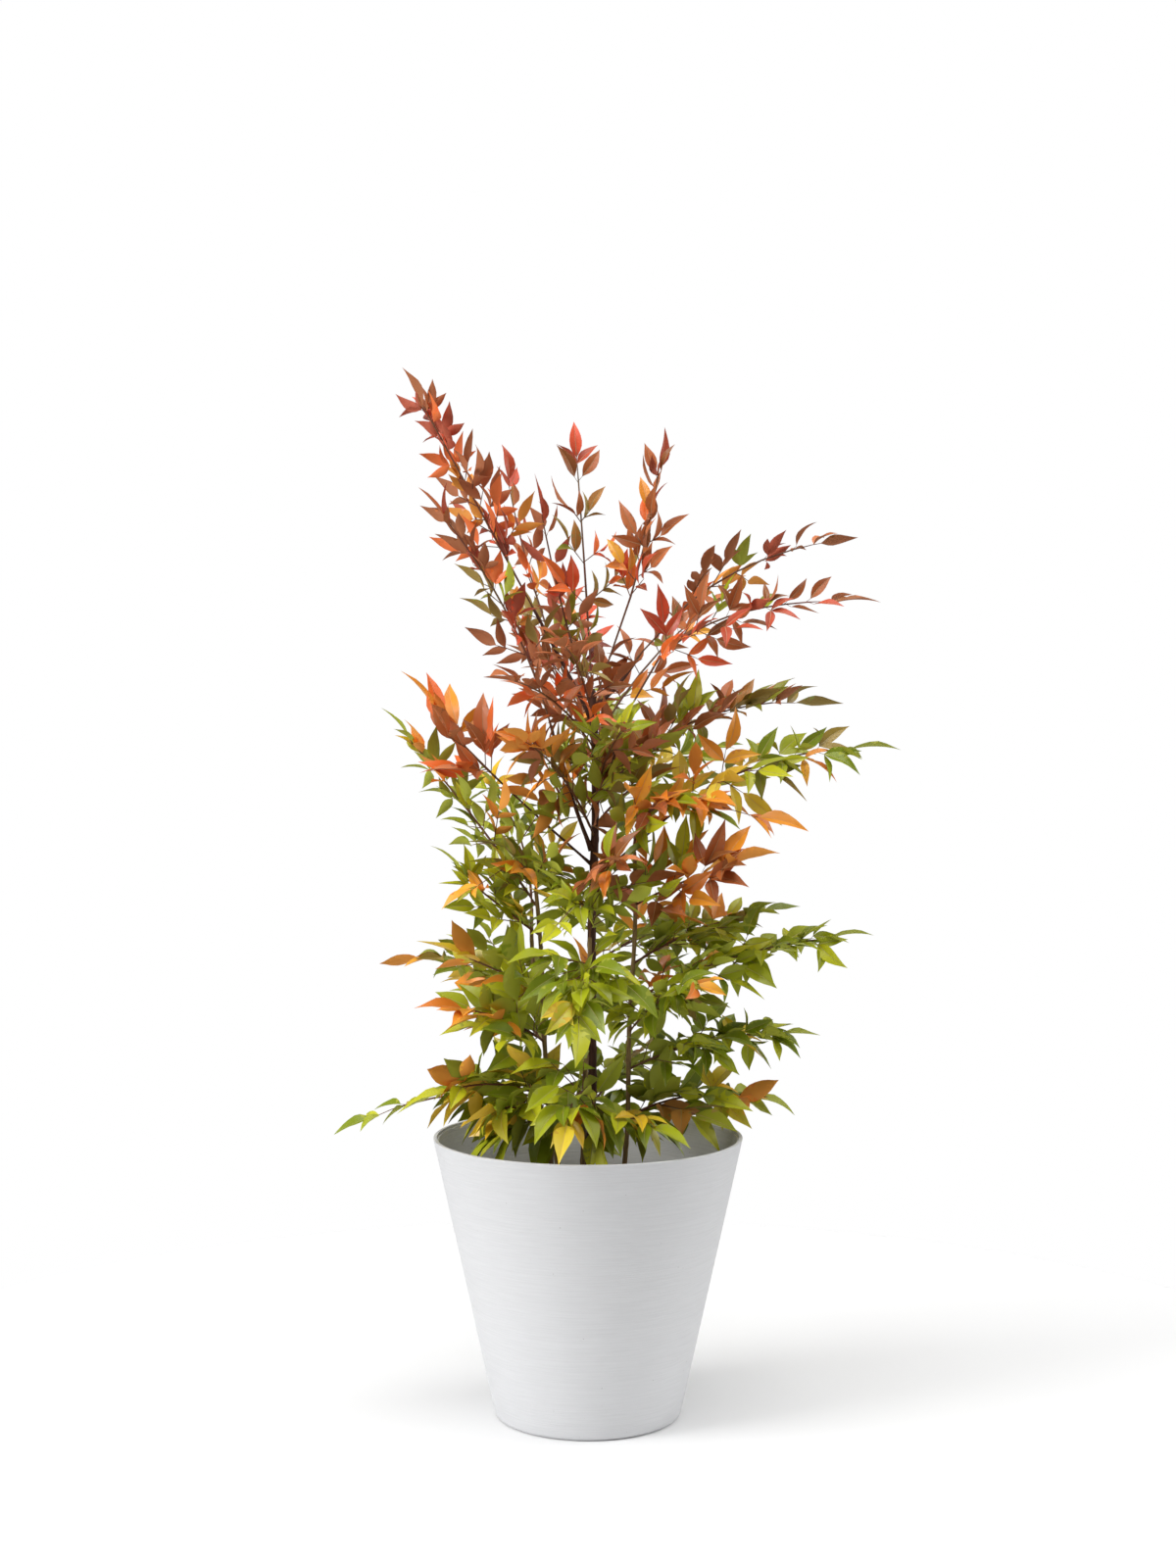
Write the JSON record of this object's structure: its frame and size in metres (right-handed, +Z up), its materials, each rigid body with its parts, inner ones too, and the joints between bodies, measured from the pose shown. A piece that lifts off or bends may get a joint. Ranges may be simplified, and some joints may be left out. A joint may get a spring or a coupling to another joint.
{
  "type": "heavenly bamboo in planter",
  "caption": "Upright evergreen shrub of slender canes with airy compound leaves in autumn reds, bronze, gold and green, growing in a tapered round planter.",
  "frame": {"origin": "centre of the planter's flat underside", "axes": "+Z up along the planter's axis and the main cane; -Y is the front, the side that the picture shows; +X is to its right"},
  "size_m": [0.586, 0.47, 1.072],
  "materials": {
    "planter": "matte pale grey-white moulded composite with fine level brush lines and sparse dark specks",
    "soil": "dark crumbly potting soil",
    "bark": "dark reddish-brown bark with ridges and old leaf bases",
    "leaf_stalks": "thin dark red stalks with slightly swollen joints",
    "leaves_crimson": "satin crimson autumn leaves, paler beneath",
    "leaves_bronze": "satin bronze-brown leaves, greyer beneath",
    "leaves_flame": "satin orange-red leaves",
    "leaves_orange": "satin orange leaves",
    "leaves_gold": "satin golden-yellow leaves",
    "leaves_olive": "satin olive-brown leaves",
    "leaves_green": "satin mid-green leaves, paler beneath"
  },
  "bodies": {
    "root": {"pot": "planter", "potting_soil": "soil", "cane_main": "bark", "cane_right": "bark", "cane_left": "bark", "cane_back": "bark", "cane_front": "bark", "cane_rear_left": "bark", "bough_upper_left": "leaf_stalks", "bough_second_left": "leaf_stalks", "bough_upper_right": "leaf_stalks", "bough_second_right": "leaf_stalks", "bough_mid_left": "leaf_stalks", "bough_low_right": "leaf_stalks", "frond_upper_left": "leaves_crimson", "frond_second_left": "leaves_bronze", "frond_centre_tall": "leaves_bronze", "frond_centre_right": "leaves_bronze", "frond_upper_right": "leaves_crimson", "frond_second_right": "leaves_bronze", "frond_centre_left": "leaves_crimson", "frond_sprig_left": "leaves_bronze", "frond_upper_front": "leaves_bronze", "frond_upper_front_left": "leaves_crimson", "frond_upper_back": "leaves_crimson", "frond_upper_back_right": "leaves_bronze", "frond_upper_back_left": "leaves_bronze", "frond_mid_left_red": "leaves_flame", "frond_mid_left": "leaves_green", "frond_mid_left_low": "leaves_green", "frond_mid_left_orange": "leaves_orange", "frond_mid_left_front": "leaves_olive", "frond_mid_right": "leaves_olive", "frond_mid_right_gold": "leaves_orange", "frond_mid_right_orange": "leaves_orange", "frond_mid_front": "leaves_flame", "frond_mid_front_high": "leaves_bronze", "frond_mid_front_right": "leaves_orange", "frond_mid_back": "leaves_olive", "frond_mid_back_left": "leaves_green", "frond_mid_back_right": "leaves_green", "frond_low_right_top": "leaves_green", "frond_low_right_far": "leaves_green", "frond_low_right": "leaves_green", "frond_low_right_foot": "leaves_green", "frond_low_left_orange": "leaves_orange", "frond_low_left": "leaves_green", "frond_low_left_front": "leaves_orange", "frond_low_left_foot": "leaves_gold", "frond_low_left_far": "leaves_green", "frond_low_front_gold": "leaves_gold", "frond_low_front": "leaves_green", "frond_low_front_right": "leaves_gold", "frond_low_front_mid": "leaves_green", "frond_low_front_top": "leaves_green", "frond_low_right_front": "leaves_green", "frond_low_back": "leaves_green", "frond_low_back_left": "leaves_green", "frond_low_back_right": "leaves_green", "frond_low_back_foot": "leaves_green"}
  },
  "joints": []
}
